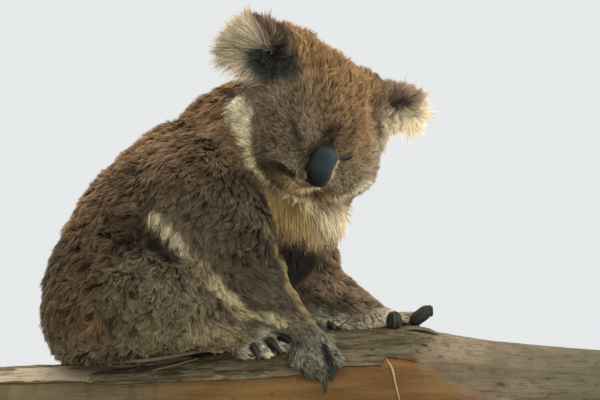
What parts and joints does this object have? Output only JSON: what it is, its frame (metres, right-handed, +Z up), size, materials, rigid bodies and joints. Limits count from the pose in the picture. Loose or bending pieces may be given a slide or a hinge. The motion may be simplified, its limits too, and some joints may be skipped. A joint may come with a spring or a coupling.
{
  "type": "koala",
  "caption": "Life-size sleeping koala, hunched and holding a thick horizontal branch, head turned aside with eyes closed, the branch held on rods above a flat base.",
  "frame": {"origin": "centre of the underside of the stand's base", "axes": "+X along the branch, the way the body faces; +Z up; -Y the animal's right side, to which its head is turned"},
  "size_m": [0.708, 0.29, 0.6421],
  "materials": {
    "coat": "dense grey-brown fur with cream chest, ruff and ear fringes",
    "nose": "bare blue-black leathery pad, slightly moist",
    "eyelid": "closed lid, dark bare skin",
    "claw": "black horn, smooth and slightly glossy",
    "perch": "weathered bark, peeled in places to orange-tan wood",
    "stand_base": "black satin lacquer",
    "stand_rod": "brushed"
  },
  "bodies": {
    "root": {"trunk": "coat", "neck": "coat", "head": "coat", "ear_left": "coat", "ear_right": "coat", "upper_arm_left": "coat", "upper_arm_right": "coat", "forearm_left": "coat", "forearm_right": "coat", "hand_left": "coat", "hand_right": "coat", "thigh_left": "coat", "thigh_right": "coat", "shank_left": "coat", "shank_right": "coat", "foot_left": "coat", "foot_right": "coat", "nose": "nose", "eye_left": "eyelid", "eye_right": "eyelid", "claw_hand_left_1": "claw", "claw_hand_left_2": "claw", "claw_hand_left_3": "claw", "claw_hand_left_4": "claw", "claw_hand_left_5": "claw", "claw_hand_right_1": "claw", "claw_hand_right_2": "claw", "claw_hand_right_3": "claw", "claw_hand_right_4": "claw", "claw_hand_right_5": "claw", "claw_foot_left_1": "claw", "claw_foot_left_2": "claw", "claw_foot_left_3": "claw", "claw_foot_right_1": "claw", "claw_foot_right_2": "claw", "claw_foot_right_3": "claw", "perch_branch": "perch", "stand_base": "stand_base", "stand_rod_1": "stand_rod", "stand_rod_2": "stand_rod"}
  },
  "joints": []
}
